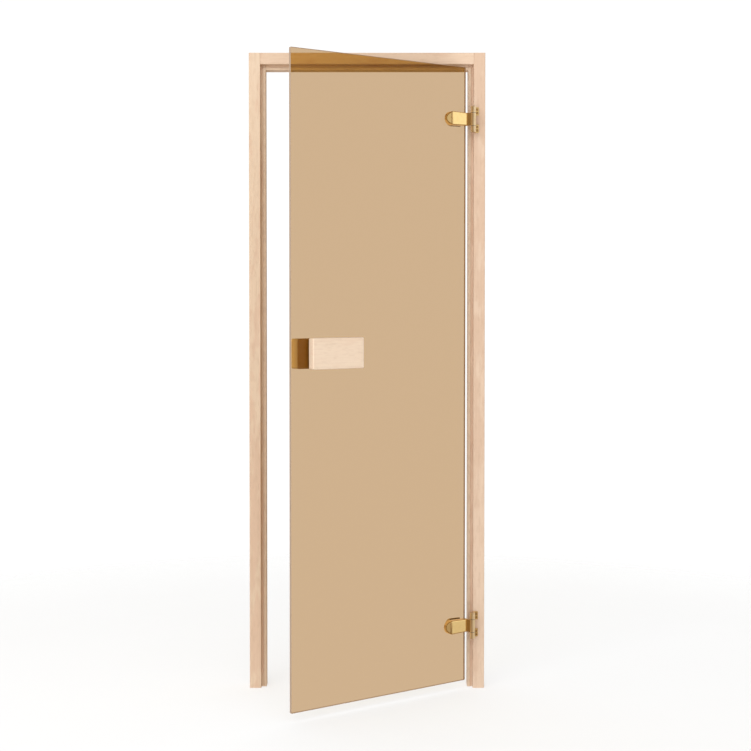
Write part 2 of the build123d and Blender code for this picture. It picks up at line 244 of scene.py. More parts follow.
class FinishBench(Bench):
    """The node tree of a new material."""

    def __init__(self, name: str) -> None:
        """Starts a material with one Principled shader.

        Args:
            name: The material's name.
        """
        self.material = bpy.data.materials.new(name)
        self.material.use_nodes = True
        super().__init__(self.material.node_tree)
        self.shader = self.tree.nodes["Principled BSDF"]
        self.output = self.tree.nodes["Material Output"]

    def place(self) -> Socket:
        """Gives the point on the piece, in metres."""
        return self.add("TexCoord").outputs["Object"]

    def relief(self, height: Socket, depth: float, strength: float) -> None:
        """Gives the surface a fine relief.

        Args:
            height: The relief's height, from 0 to 1.
            depth: Height of 1, in metres.
            strength: How strongly it shows, from 0 to 1.
        """
        bump = self.add("Bump")
        self.feed(bump.inputs["Height"], height)
        self.feed(bump.inputs["Distance"], depth)
        self.feed(bump.inputs["Strength"], strength)
        self.feed(self.shader.inputs["Normal"], bump.outputs[0])


@dataclass(frozen=True)
class WoodFinish:
    """Pale planed wood, with patches, flecks, year rings, fibres and pores through the board.

    Waves are counted in a metre, across, through and along the board. A share is how far a mark
    goes from the wood's own colour to that of the late wood.

    Attributes:
        name: The board that it is for.
        board: How the board lies.
        heart: Where the tree's heart was, across and through from the origin, in metres.
        pale: Colour of the early wood.
        deep: Colour of the late wood.
        rosy: Colour of the warmer patches.
        turn: Between which places along it the board turns from warmer to paler, in metres. By
            default it lies below every board, so the whole board is on the paler side. On the
            jambs the turn is partly the wood's own tone and partly painted shade and light: darker
            and rosier at the warmer end, paler at the other.
        tone_and_shade_shift: What the warmer and the paler side add to the noise of the patches.
        patch_waves: Waves of the warmer patches.
        patch_edge: Noise between which the patches fade in.
        fleck_waves: Waves of the flecks.
        fleck_edge: Noise between which they fade in.
        fleck_share: Share of the flecks.
        ring_rate: Year rings in a metre, out from the heart.
        ring_edge: Noise between which they fade in.
        ring_wander: How far the rings wander, in metres.
        wander_waves: Waves of that wandering.
        ring_share: Share of the rings.
        fibre_waves: Waves of the fibres.
        fibre_edge: Noise between which they fade in.
        fibre_share: Share of the fibres.
        pore_waves: Waves of the pores.
        pore_edge: Noise between which they fade in.
        pore_share: Share of the pores.
        pore_pit: Depth of a pore, as a share of the fibres' relief.
        roughness: Least and most roughness.
        sheen: Strength of the reflections.
        relief: Depth of the fibres and pores, in millimetres.
        relief_strength: How strongly that relief shows.
    """

    name: str
    board: Board
    heart: tuple[float, float]
    pale: Colour = (0.78, 0.605, 0.445)
    deep: Colour = (0.58, 0.40, 0.27)
    rosy: Colour = (0.735, 0.53, 0.385)
    turn: tuple[float, float] = (-10.0, -9.0)
    tone_and_shade_shift: tuple[float, float] = (0.10, -0.08)
    patch_waves: tuple[float, float, float] = (52.0, 52.0, 13.0)
    patch_edge: tuple[float, float] = (0.40, 0.62)
    fleck_waves: tuple[float, float, float] = (150.0, 150.0, 42.0)
    fleck_edge: tuple[float, float] = (0.48, 0.72)
    fleck_share: float = 0.23
    ring_rate: float = 210.0
    ring_edge: tuple[float, float] = (0.36, 0.70)
    ring_wander: float = 0.03
    wander_waves: tuple[float, float, float] = (9.0, 9.0, 1.1)
    ring_share: float = 0.09
    fibre_waves: tuple[float, float, float] = (620.0, 620.0, 11.0)
    fibre_edge: tuple[float, float] = (0.35, 0.68)
    fibre_share: float = 0.13
    pore_waves: tuple[float, float, float] = (1900.0, 1900.0, 52.0)
    pore_edge: tuple[float, float] = (0.64, 0.74)
    pore_share: float = 0.22
    pore_pit: float = 0.7
    roughness: tuple[float, float] = (0.52, 0.68)
    sheen: float = 0.3
    relief: float = 0.12
    relief_strength: float = 0.45

    def material(self) -> bpy.types.Material:
        """Builds the finish.

        Returns:
            The material.
        """
        bench = FinishBench("wood_" + self.name)
        point = self._board_point(bench)
        parts = bench.add("SeparateXYZ")
        bench.feed(parts.inputs[0], point)
        patches = bench.noise(bench.stretched(point, Vector(self.patch_waves)), 1, 3)
        flecks = bench.noise(bench.stretched(point, Vector(self.fleck_waves)), 1, 2)
        wander = bench.noise(bench.stretched(point, Vector(self.wander_waves)), 1, 2)
        across = bench.math("SUBTRACT", parts.outputs[0], self.heart[0])
        through = bench.math("SUBTRACT", parts.outputs[1], self.heart[1])
        radius = bench.math(
            "SQRT",
            bench.math("ADD", bench.math("POWER", across, 2.0), bench.math("POWER", through, 2.0)),
        )
        rings = bench.add("TexNoise", noise_dimensions="1D")
        bench.feed(
            rings.inputs["W"], bench.math("MULTIPLY_ADD", wander, self.ring_wander, radius)
        )
        bench.feed(rings.inputs["Scale"], self.ring_rate)
        bench.feed(rings.inputs["Detail"], 2.0)
        ring = bench.remap(rings.outputs["Fac"], *self.ring_edge, 0, 1)
        fibre = bench.noise(bench.stretched(point, Vector(self.fibre_waves)), 1, 3)
        pores = bench.noise(bench.stretched(point, Vector(self.pore_waves)), 1, 1)
        pores = bench.remap(pores, *self.pore_edge, 0, 1)
        late = bench.math("MULTIPLY", ring, self.ring_share)
        for mark, share in (
            (bench.remap(flecks, *self.fleck_edge, 0, 1), self.fleck_share),
            (bench.remap(fibre, *self.fibre_edge, 0, 1), self.fibre_share),
            (pores, self.pore_share),
        ):
            late = bench.math("MULTIPLY_ADD", mark, share, late)
        # On the jambs this shift is partly the wood's own tone and partly painted shade and light
        # along the board.
        shift = bench.remap(parts.outputs[2], *self.turn, *self.tone_and_shade_shift)
        warmth_and_painted_shade = bench.remap(bench.math("ADD", patches, shift), *self.patch_edge, 0, 1)
        base = bench.blend(warmth_and_painted_shade, self.pale, self.rosy)
        bench.feed(bench.shader.inputs["Base Color"], bench.blend(late, base, self.deep))
        least, most = self.roughness
        rough = bench.remap(fibre, *NOISE_RANGE, most, least)
        bench.feed(bench.shader.inputs["Roughness"], rough)
        bench.shader.inputs["Specular IOR Level"].default_value = self.sheen
        height = bench.math("MULTIPLY_ADD", pores, -self.pore_pit, fibre)
        bench.relief(height, self.relief * MILLIMETRE, self.relief_strength)
        return bench.material

    def _board_point(self, bench: FinishBench) -> Socket:
        """Gives the point across, through and along the board, in metres.

        Args:
            bench: The material in the making.

        Returns:
            The point.
        """
        place = bench.place()
        turned = bench.add("CombineXYZ")
        for target, direction in zip(turned.inputs, self.board.value):
            bench.feed(target, bench.facing(place, direction))
        return turned.outputs[0]


@dataclass(frozen=True)
class GlassFinish:
    """Bronze glass, clear on its faces and satin on its ground edges.

    Attributes:
        through: Share of the light that goes through the pane, by colour.
        shade: Share of a lamp's light that goes through it.
        edge: Colour of the ground edges.
        edge_glow: Share of the light on a ground edge that goes on into the glass.
        edge_gloss: Index of refraction that sets the gloss of a ground edge.
        grind_waves: Waves of the grinding in a metre.
        grind: Least and most roughness of a ground edge.
        bend: Index of refraction of the pane. It is low, which keeps reflections faint.
        face_on: Least cosine to the pane's direction that still counts as its face.
    """

    through: Colour = (0.585, 0.385, 0.124)
    shade: Colour = (0.9, 0.78, 0.42)
    edge: Colour = (0.60, 0.455, 0.325)
    edge_glow: float = 0.5
    edge_gloss: float = 1.45
    grind_waves: float = 900.0
    grind: tuple[float, float] = (0.28, 0.42)
    bend: float = 1.16
    face_on: float = 0.9

    def material(self) -> bpy.types.Material:
        """Builds the finish.

        Returns:
            The material.
        """
        bench = FinishBench("bronze_glass")
        clear = bench.shader
        clear.inputs["Base Color"].default_value = (*self.through, 1)
        clear.inputs["Roughness"].default_value = 0.0
        clear.inputs["IOR"].default_value = self.bend
        clear.inputs["Transmission Weight"].default_value = 1.0
        lamps = bench.add("BsdfTransparent")
        tint = [math.sqrt(share) for share in self.shade]
        lamps.inputs["Color"].default_value = (*tint, 1)
        path = bench.add("LightPath")
        pane = bench.add("MixShader")
        bench.feed(pane.inputs[0], path.outputs["Is Shadow Ray"])
        bench.feed(pane.inputs[1], clear.outputs[0])
        bench.feed(pane.inputs[2], lamps.outputs[0])
        satin = bench.add("BsdfPrincipled")
        satin.inputs["Base Color"].default_value = (*self.edge, 1)
        satin.inputs["IOR"].default_value = self.edge_gloss
        grind = bench.noise(bench.place(), self.grind_waves, 2)
        bench.feed(satin.inputs["Roughness"], bench.remap(grind, *NOISE_RANGE, *self.grind))
        inward = bench.add("BsdfTranslucent")
        inward.inputs["Color"].default_value = (*self.edge, 1)
        ground = bench.add("MixShader")
        ground.inputs[0].default_value = self.edge_glow
        bench.feed(ground.inputs[1], satin.outputs[0])
        bench.feed(ground.inputs[2], inward.outputs[0])
        normal = bench.add("TexCoord").outputs["Normal"]
        facing = bench.math("ABSOLUTE", bench.facing(normal, LEAF_OUTWARD))
        whole = bench.add("MixShader")
        bench.feed(whole.inputs[0], bench.math("GREATER_THAN", facing, self.face_on))
        bench.feed(whole.inputs[1], ground.outputs[0])
        bench.feed(whole.inputs[2], pane.outputs[0])
        bench.feed(bench.output.inputs["Surface"], whole.outputs[0])
        return bench.material


@dataclass(frozen=True)
class MetalFinish:
    """Polished or satin metal, with faint rubbing marks and cloudy wear.

    Attributes:
        name: The metal.
        bright: Colour where it is clean.
        dull: Colour where it has clouded.
        roughness: Least and most roughness.
        cloud_waves: Waves of the clouding in a metre.
        cloud_edge: Noise between which the clouding fades in.
        cloud_share: Share of the clouding in the roughness. The rest is the marks'.
        rough_range: Values of those two together that give the least and the most roughness.
        marks: Waves of the rubbing marks in a metre, across, through and along them.
        depth: Depth of the marks, in millimetres.
        depth_strength: How strongly that depth shows.
        turned: Colour of what was turned on a lathe round the hinge axis, if any of it was. It
            is paler than the brass: a painted highlight that makes the barrels read brighter.
        turned_reach: Distances from the axis between which the turned finish ends, in metres.
        turned_roughness: How much rougher the turned finish is.
    """

    name: str
    bright: Colour
    dull: Colour
    roughness: tuple[float, float]
    cloud_waves: float = 95.0
    cloud_edge: tuple[float, float] = (0.35, 0.68)
    cloud_share: float = 0.6
    rough_range: tuple[float, float] = (0.1, 0.8)
    marks: tuple[float, float, float] = (140.0, 140.0, 1600.0)
    depth: float = 0.01
    depth_strength: float = 0.35
    turned: Colour | None = None
    turned_reach: tuple[float, float] = (7.6 * MILLIMETRE, 8.2 * MILLIMETRE)
    turned_roughness: float = 0.38

    def material(self) -> bpy.types.Material:
        """Builds the finish.

        Returns:
            The material.
        """
        bench = FinishBench(self.name)
        place = bench.place()
        clouds = bench.remap(bench.noise(place, self.cloud_waves, 4), *self.cloud_edge, 0, 1)
        marks = bench.noise(bench.stretched(place, Vector(self.marks)), 1, 3)
        colour = bench.blend(clouds, self.bright, self.dull)
        clouded = bench.math("MULTIPLY", clouds, self.cloud_share)
        rubbed = bench.math("MULTIPLY", marks, 1 - self.cloud_share)
        rough = bench.math("ADD", clouded, rubbed)
        rough = bench.remap(rough, *self.rough_range, *self.roughness)
        if self.turned is not None:
            on_barrel = self._on_barrel(bench)
            # The barrels are rougher, as turned brass is, and paler: a painted highlight.
            colour = bench.blend(on_barrel, colour, self.turned)
            extra = bench.math("MULTIPLY", on_barrel, self.turned_roughness)
            rough = bench.math("ADD", rough, extra)
        bench.feed(bench.shader.inputs["Base Color"], colour)
        bench.shader.inputs["Metallic"].default_value = 1.0
        bench.feed(bench.shader.inputs["Roughness"], rough)
        bench.relief(marks, self.depth * MILLIMETRE, self.depth_strength)
        return bench.material

    def _on_barrel(self, bench: FinishBench) -> Socket:
        """Finds the turned barrels, at rest, by their distance from the hinge axis.

        Args:
            bench: The material in the making.

        Returns:
            1 on them and 0 elsewhere.
        """
        distance = bench.add("VectorMath", operation="DISTANCE")
        bench.feed(distance.inputs[0], bench.stretched(bench.place(), Vector((1, 1, 0))))
        bench.feed(distance.inputs[1], Vector((*SWING["pos_m"][:2], 0)))
        return bench.remap(distance.outputs["Value"], *self.turned_reach, 1, 0)


@dataclass(frozen=True)
class SoftFinish:
    """Matt rubber, silicone or nylon with a fine skin.

    Attributes:
        name: The stuff.
        colour: Its colour.
        worn: Its colour where it has been rubbed.
        roughness: Least and most roughness.
        worn_waves: Waves of the rubbed places in a metre.
        worn_edge: Noise between which they fade in.
        skin_waves: Waves of the skin in a metre.
        skin_depth: Depth of the skin, in millimetres.
        skin_strength: How strongly that depth shows.
    """

    name: str
    colour: Colour
    worn: Colour
    roughness: tuple[float, float] = (0.45, 0.7)
    worn_waves: float = 60.0
    worn_edge: tuple[float, float] = (0.4, 0.7)
    skin_waves: float = 1500.0
    skin_depth: float = 0.03
    skin_strength: float = 0.3

    def material(self) -> bpy.types.Material:
        """Builds the finish.

        Returns:
            The material.
        """
        bench = FinishBench(self.name)
        place = bench.place()
        rubbed = bench.remap(bench.noise(place, self.worn_waves, 3), *self.worn_edge, 0, 1)
        skin = bench.noise(place, self.skin_waves, 2)
        bench.feed(bench.shader.inputs["Base Color"], bench.blend(rubbed, self.colour, self.worn))
        rough = bench.remap(skin, *NOISE_RANGE, *self.roughness)
        bench.feed(bench.shader.inputs["Roughness"], rough)
        bench.relief(skin, self.skin_depth * MILLIMETRE, self.skin_strength)
        return bench.material


def dress(node: str, material: bpy.types.Material) -> None:
    """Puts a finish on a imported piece.

    Args:
        node: The piece's name.
        material: Its finish.
    """
    slots = frame["nodes"][node].data.materials
    slots.clear()
    slots.append(material)
    log.info("%s: %s", node, material.name)


def add_piece(name: str, mesh: bmesh.types.BMesh, material: bpy.types.Material) -> bpy.types.Object:
    """Makes an object of a finished mesh.

    Args:
        name: The piece's name.
        mesh: Its mesh, in place, which is freed.
        material: Its finish.

    Returns:
        The object, at the origin.
    """
    bmesh.ops.remove_doubles(mesh, verts=mesh.verts, dist=WELD)
    bmesh.ops.recalc_face_normals(mesh, faces=mesh.faces)
    data = bpy.data.meshes.new(name)
    mesh.to_mesh(data)
    mesh.free()
    data.materials.append(material)
    data.shade_smooth()
    data.set_sharp_from_angle(angle=SHARP_ANGLE)
    piece = bpy.data.objects.new(name, data)
    bpy.context.scene.collection.objects.link(piece)
    log.info("%s: %d faces", name, len(data.polygons))
    return piece


@dataclass
class WoodScrew:
    """A countersunk wood screw with a cross recess, of which the head and a stub of shank show.

    Attributes:
        head: Diameter of the head, in metres, as are the others.
        shank: Diameter of the shank.
        sink: Depth of the head's cone.
        crown: Rise of the head's middle over its rim.
        slope: Width of the rising rim, as a share of the head's diameter.
        stub: Length of the shank below the head.
        arm: Reach of each arm of the recess.
        slot: Half the width of an arm.
        recess: Depth of the recess.
        foot: Size of the recess at its foot, as a share of its size at the top.
        inset: How far the recess's outline is set in before it is shaped.
        foot_inset: How far its foot's outline is.
        sides: How many sides the head has.
    """

    head: float = 6.8 * MILLIMETRE
    shank: float = 3.2 * MILLIMETRE
    sink: float = 1.9 * MILLIMETRE
    crown: float = 0.25 * MILLIMETRE
    slope: float = 0.15
    stub: float = 4.0 * MILLIMETRE
    arm: float = 2.0 * MILLIMETRE
    slot: float = 0.5 * MILLIMETRE
    recess: float = 1.3 * MILLIMETRE
    foot: float = 0.75
    inset: float = 0.25 * MILLIMETRE
    foot_inset: float = 0.025 * MILLIMETRE
    sides: int = 32

    def build(self, mesh: bmesh.types.BMesh, centre: Vector, out: Vector, turn: float) -> None:
        """Adds the screw to a mesh.

        Args:
            mesh: The mesh that takes it.
            centre: Middle of the head's rim.
            out: Direction that the head looks in.
            turn: Turn of the recess about that direction.
        """
        others = set(mesh.verts)
        disc = bmesh.ops.create_circle(
            mesh, cap_ends=True, segments=self.sides, radius=self.head / 2
        )["verts"]
        top = disc[0].link_faces[0]
        self._draw_shank(mesh, list(top.edges))
        bmesh.ops.inset_region(mesh, faces=[top], thickness=self.slope * self.head)
        bmesh.ops.translate(mesh, vec=(0, 0, self.crown), verts=list(top.verts))
        self._sink_cross(mesh, top)
        upright = out.to_track_quat("Z", "Y").to_matrix().to_4x4()
        bmesh.ops.transform(
            mesh,
            matrix=Matrix.Translation(centre) @ upright @ Matrix.Rotation(turn, 4, "Z"),
            verts=[vertex for vertex in mesh.verts if vertex not in others],
        )

    def _draw_shank(self, mesh: bmesh.types.BMesh, rim: list[bmesh.types.BMEdge]) -> None:
        """Draws the cone and the stub of shank down from the head's rim.

        Args:
            mesh: The mesh that holds the screw.
            rim: Edges of the rim.
        """
        for scale, drop in ((self.shank / self.head, self.sink), (1.0, self.stub)):
            drawn = bmesh.ops.extrude_edge_only(mesh, edges=rim)["geom"]
            ring = [item for item in drawn if isinstance(item, bmesh.types.BMVert)]
            rim = [item for item in drawn if isinstance(item, bmesh.types.BMEdge)]
            rim = [edge for edge in rim if all(vertex in ring for vertex in edge.verts)]
            bmesh.ops.scale(mesh, vec=(scale, scale, 1), verts=ring)
            bmesh.ops.translate(mesh, vec=(0, 0, -drop), verts=ring)
        bmesh.ops.contextual_create(mesh, geom=rim)

    def _sink_cross(self, mesh: bmesh.types.BMesh, top: bmesh.types.BMFace) -> None:
        """Turns the top face into a cross and sinks it, a little narrower at its foot.

        Args:
            mesh: The mesh that holds the screw.
            top: The top face.
        """
        bmesh.ops.inset_region(mesh, faces=[top], thickness=self.inset)
        self._shape_cross(top, 1.0)
        bmesh.ops.inset_region(mesh, faces=[top], thickness=self.foot_inset)
        self._shape_cross(top, self.foot)
        bmesh.ops.translate(mesh, vec=(0, 0, -self.recess), verts=list(top.verts))

    def _shape_cross(self, top: bmesh.types.BMFace, size: float) -> None:
        """Moves a face's corners onto the outline of a cross.

        Args:
            top: The face.
            size: Share of the cross's full size.
        """
        for vertex in top.verts:
            angle = math.atan2(vertex.co.y, vertex.co.x)
            off_arm = abs((angle + math.pi / 4) % (math.pi / 2) - math.pi / 4)
            reach = min(self.arm / math.cos(off_arm), self.slot / max(math.sin(off_arm), 0.01))
            vertex.co.x = size * reach * math.cos(angle)
            vertex.co.y = size * reach * math.sin(angle)


@dataclass
class DoorFrame:
    """Two rebated jambs, the head between them and the seals on their stops.

    Attributes:
        boards: The wood of the boards, by their nodes' names.
        seals: The seals' nodes.
        silicone: What the seals are made of.
    """

    boards: tuple[WoodFinish, ...] = (
        WoodFinish(
            "jamb_hinge_side",
            Board.UPRIGHT,
            (0.075, -0.105),
            pale=(0.755, 0.565, 0.42),
            deep=(0.55, 0.37, 0.245),
            rosy=(0.70, 0.50, 0.36),
            # Partly painted shade and light: darker and rosier above 1 m, paler below 0.4 m.
            turn=(1.0, 0.4),
        ),
        # Partly painted shade: darker and rosier towards the foot, below 0.55 m.
        WoodFinish("jamb_latch_side", Board.UPRIGHT, (-0.645, 0.125), turn=(0.55, 0.95)),
        WoodFinish(
            "head",
            Board.LEVEL,
            (1.76, -0.11),
            pale=(0.75, 0.56, 0.41),
            rosy=(0.70, 0.495, 0.355),
        ),
    )
    seals: tuple[str, ...] = ("seal_hinge_side", "seal_latch_side", "seal_head")
    silicone: SoftFinish = SoftFinish("pale_silicone", (0.70, 0.53, 0.38), (0.64, 0.475, 0.335))

    def finish(self) -> None:
        """Dresses the boards and the seals."""
        for board in self.boards:
            dress(board.name, board.material())
        material = self.silicone.material()
        for node in self.seals:
            dress(node, material)


@dataclass
class Hinge:
    """One brass hinge, from its bracket on the jamb to its clamps on the glass.

    The outer clamp is an OuterClamp.

    Attributes:
        place: Which hinge it is.
        brass: Finish of the bracket and the inner clamp.
        aged_brass: Finish of the bracket's screws.
        pin_steel: Finish of the pin.
        screw_steel: Finish of the clamp screws.
        rubber: Finish of the gaskets.
        nylon: Finish of the washers.
        ear_width: Width of the bracket's ears, in metres, as are the others.
        ear_height: Height of an ear.
        ear_thickness: Thickness of an ear.
        screw_spacing: Distance between an ear's two screws.
        sunk: How far the screws' rims lie under the ear's face.
        first_turn: How far the lowest screw's recess is turned, in degrees.
        next_turn: How much further each next one is, in degrees.
        screw: The screw in each hole.
    """

    place: HingePlace
    brass: bpy.types.Material
    aged_brass: bpy.types.Material
    pin_steel: bpy.types.Material
    screw_steel: bpy.types.Material
    rubber: bpy.types.Material
    nylon: bpy.types.Material
    ear_width: float = 10 * MILLIMETRE
    ear_height: float = 24 * MILLIMETRE
    ear_thickness: float = 3 * MILLIMETRE
    screw_spacing: float = 10 * MILLIMETRE
    sunk: float = 0.15 * MILLIMETRE
    first_turn: float = 23.0
    next_turn: float = 31.0
    screw: WoodScrew = field(default_factory=WoodScrew)

    def finish(self) -> None:
        """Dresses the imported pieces."""
        finishes = {
            "hinge_bracket": self.brass,
            "hinge_pin": self.pin_steel,
            "hinge_washers": self.nylon,
            "hinge_clamp_inner": self.brass,
            "hinge_gasket_outer": self.rubber,
            "hinge_gasket_inner": self.rubber,
            "hinge_clamp_screws": self.screw_steel,
        }
        for part, material in finishes.items():
            dress(f"{part}_{self.place.value}", material)

    def add_screws(self) -> None:
        """Sets the four wood screws in the bracket's ears."""
        low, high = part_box(f"hinge_bracket_{self.place.value}")
        across = high.x - self.ear_width / 2
        face = high.y - self.ear_thickness + self.sunk
        middle = (low.z + high.z) / 2
        ear = (high.z - low.z - self.ear_height) / 2
        mesh = bmesh.new()
        for number, (end, step) in enumerate(((-1, -1), (-1, 1), (1, -1), (1, 1))):
            height = middle + end * ear + step * self.screw_spacing / 2
            turn = math.radians(self.first_turn + self.next_turn * number)
            self.screw.build(mesh, Vector((across, face, height)), OUTSIDE, turn)
        piece = add_piece(f"bracket_screws_{self.place.value}", mesh, self.aged_brass)
        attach(piece, Body.FRAME.value)


@dataclass
class OuterClamp:
    """The thick plate that grips the glass from outside, with its arm and its knuckle.

    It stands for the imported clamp, whose edges are less round than the real one's. Places are
    along the leaf from the hinge axis and inwards from it, and all sizes are in metres.

    Attributes:
        place: Which hinge it belongs to.
        brass: Its finish.
        hinge_end: Place of the plate's hinge end along the leaf.
        tip: Place of the tip of its nose.
        front: Place of its front face.
        seat: Place of the face on the gasket.
        root_height: Height of the plate at its hinge end.
        nose_height: Height of the plate at its round nose.
        nose_slope: Length of the slope on the nose.
        nose_drop: How far the slope falls.
        rounding: Reach of the round edges.
        corner: Least bend of an edge that is rounded, in degrees.
        arm: Thickness of the arm at the plate.
        arm_end: Thickness of the arm at the knuckle.
        arm_root: How deep the arm is set in the plate.
        knuckle: Diameter of the knuckle.
        knuckle_height: Height of the knuckle and the arm.
        bore: Diameter of the hole for the pin.
        screw_hole: Diameter of the holes for the clamp screws.
        screw_places: Places of those holes along the leaf.
        screw_reach: Depth of those holes.
        round_steps: Flat steps in a round edge.
        sides: Sides of a whole circle.
        flat_area: Area above which a face is shaded flat, in square metres.
    """

    place: HingePlace
    brass: bpy.types.Material
    hinge_end: float = -4 * MILLIMETRE
    tip: float = -85.5 * MILLIMETRE
    front: float = 10 * MILLIMETRE
    seat: float = 28.5 * MILLIMETRE
    root_height: float = 37 * MILLIMETRE
    nose_height: float = 40 * MILLIMETRE
    nose_slope: float = 13.5 * MILLIMETRE
    nose_drop: float = 11 * MILLIMETRE
    rounding: float = 3 * MILLIMETRE
    corner: float = 20.0
    arm: float = 10 * MILLIMETRE
    arm_end: float = 9 * MILLIMETRE
    arm_root: float = 4 * MILLIMETRE
    knuckle: float = 15 * MILLIMETRE
    knuckle_height: float = 37 * MILLIMETRE
    bore: float = 7.1 * MILLIMETRE
    screw_hole: float = 6.1 * MILLIMETRE
    screw_places: tuple[float, ...] = (-30 * MILLIMETRE, -54 * MILLIMETRE)
    screw_reach: float = 11.05 * MILLIMETRE
    round_steps: int = 6
    sides: int = 64
    flat_area: float = 100 * MILLIMETRE**2

    def build(self) -> None:
        """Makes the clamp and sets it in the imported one's place."""
        node = f"hinge_clamp_outer_{self.place.value}"
        low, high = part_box(node)
        axis = Vector(SWING["pos_m"])
        turned = Matrix((LEAF_ALONG, -LEAF_OUTWARD, UP)).transposed().to_4x4()
        seat = Matrix.Translation((axis.x, axis.y, (low.z + high.z) / 2)) @ turned
        tools = ((self._arm(), "UNION"), (self._knuckle(), "UNION"), (self._holes(), "DIFFERENCE"))
        whole = self._carved(self._plate(), tools)
        bmesh.ops.transform(whole, matrix=seat, verts=whole.verts)
        piece = add_piece(f"clamp_outer_{self.place.value}", whole, self.brass)
        for face in piece.data.polygons:
            face.use_smooth = face.area < self.flat_area
        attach(piece, Body.LEAF.value)
        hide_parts(node)

    def _plate(self) -> bmesh.types.BMesh:
        """Draws the tapered plate out to its round nose, slopes the nose and rounds the edges.

        Returns:
            The plate, closed.
        """
        mesh = bmesh.new()
        nose = self.tip + self.nose_height / 2
        lying = Matrix.Translation((nose, self.seat, 0)) @ Matrix.Rotation(math.pi / 2, 4, "X")
        bmesh.ops.create_circle(
            mesh, cap_ends=True, segments=self.sides, radius=self.nose_height / 2, matrix=lying
        )
        self._cut(mesh, Vector((nose, 0, 0)), Vector((1, 0, 0)))
        chord = [edge for edge in mesh.edges if all(abs(v.co.x - nose) < WELD for v in edge.verts)]
        drawn = bmesh.ops.extrude_edge_only(mesh, edges=chord)["geom"]
        root = [item for item in drawn if isinstance(item, bmesh.types.BMVert)]
        bmesh.ops.scale(mesh, vec=(1, 1, self.root_height / self.nose_height), verts=root)
        bmesh.ops.translate(mesh, vec=(self.hinge_end - nose, 0, 0), verts=root)
        bmesh.ops.dissolve_edges(mesh, edges=chord, use_verts=False)
        raised = bmesh.ops.extrude_face_region(mesh, geom=list(mesh.faces))["geom"]
        corners = [item for item in raised if isinstance(item, bmesh.types.BMVert)]
        bmesh.ops.translate(mesh, vec=(0, self.front - self.seat, 0), verts=corners)
        crest = Vector((self.tip + self.nose_slope, self.front, 0))
        self._cut(mesh, crest, Vector((-self.nose_drop, -self.nose_slope, 0)))
        bmesh.ops.holes_fill(mesh, edges=[edge for edge in mesh.edges if edge.is_boundary])
        bmesh.ops.recalc_face_normals(mesh, faces=mesh.faces)
        rim = [
            edge
            for edge in mesh.edges
            if edge.calc_face_angle() > math.radians(self.corner)
            and any(vertex.co.y < self.seat - WELD for vertex in edge.verts)
        ]
        bmesh.ops.bevel(
            mesh,
            geom=rim,
            offset=self.rounding,
            segments=self.round_steps,
            profile=0.5,
            affect="EDGES",
            material=-1,
            clamp_overlap=False,
        )
        return mesh

    def _cut(self, mesh: bmesh.types.BMesh, place: Vector, out: Vector) -> None:
        """Cuts away what lies beyond a plane.

        Args:
            mesh: The mesh to cut.
            place: A point on the plane.
            out: Direction of the side that goes.
        """
        everything = [*mesh.verts, *mesh.edges, *mesh.faces]
        bmesh.ops.bisect_plane(
            mesh, geom=everything, plane_co=place, plane_no=out.normalized(), clear_outer=True
        )
        bmesh.ops.remove_doubles(mesh, verts=mesh.verts, dist=WELD)

    def _arm(self) -> bmesh.types.BMesh:
        """Stretches the arm from the plate's end to the knuckle.

        Returns:
            The arm, closed.
        """
        mesh = bmesh.new()
        self._post(mesh, self.arm_end, self.knuckle_height, Matrix())
        size = Vector((self.arm, self.arm_root, self.knuckle_height))
        middle = Vector((self.hinge_end - self.arm / 2, self.front + self.arm_root / 2, 0))
        block = Matrix.Translation(middle) @ Matrix.Diagonal(size.to_4d())
        bmesh.ops.create_cube(mesh, size=1, matrix=block)
        inner = list(mesh.faces)
        bmesh.ops.convex_hull(mesh, input=list(mesh.verts))
        bmesh.ops.delete(mesh, geom=inner, context="FACES_ONLY")
        loose = [edge for edge in mesh.edges if edge.is_wire]
        bmesh.ops.delete(mesh, geom=loose, context="EDGES")
        bmesh.ops.delete(mesh, geom=[v for v in mesh.verts if not v.link_faces], context="VERTS")
        return mesh

    def _knuckle(self) -> bmesh.types.BMesh:
        """Makes the knuckle on the hinge axis.

        Returns:
            The knuckle, without its bore.
        """
        mesh = bmesh.new()
        self._post(mesh, self.knuckle, self.knuckle_height, Matrix())
        return mesh

    def _holes(self) -> bmesh.types.BMesh:
        """Makes the shapes of the pin's bore and of the clamp screws' blind holes.

        Returns:
            The shapes to be cut out.
        """
        mesh = bmesh.new()
        self._post(mesh, self.bore, 2 * self.knuckle_height, Matrix())
        lying = Matrix.Rotation(math.pi / 2, 4, "X")
        for along in self.screw_places:
            place = Matrix.Translation((along, self.seat, 0))
            self._post(mesh, self.screw_hole, 2 * self.screw_reach, place @ lying)
        return mesh

    def _post(self, mesh: bmesh.types.BMesh, across: float, height: float, seat: Matrix) -> None:
        """Adds a round post.

        Args:
            mesh: The mesh that takes it.
            across: Its diameter.
            height: Its height.
            seat: Where its middle stands, and how it is turned.
        """
        bmesh.ops.create_cone(
            mesh,
            cap_ends=True,
            segments=self.sides,
            radius1=across / 2,
            radius2=across / 2,
            depth=height,
            matrix=seat,
        )

    def _carved(
        self, plate: bmesh.types.BMesh, tools: tuple[tuple[bmesh.types.BMesh, str], ...]
    ) -> bmesh.types.BMesh:
        """Joins shapes to the plate or cuts them out of it.

        Args:
            plate: The plate, which is freed, as are the shapes.
            tools: Each shape, and what is done with it.

        Returns:
            The finished mesh.
        """
        helpers = [self._helper(mesh) for mesh in (plate, *(tool for tool, _ in tools))]
        for helper, (_, operation) in zip(helpers[1:], tools):
            modifier = helpers[0].modifiers.new(operation.lower(), "BOOLEAN")
            modifier.object = helper
            modifier.operation = operation
            modifier.solver = "EXACT"
        shaped = helpers[0].evaluated_get(bpy.context.evaluated_depsgraph_get())
        whole = bmesh.new()
        whole.from_mesh(shaped.to_mesh())
        shaped.to_mesh_clear()
        for helper in helpers:
            bpy.data.meshes.remove(helper.data)
        return whole

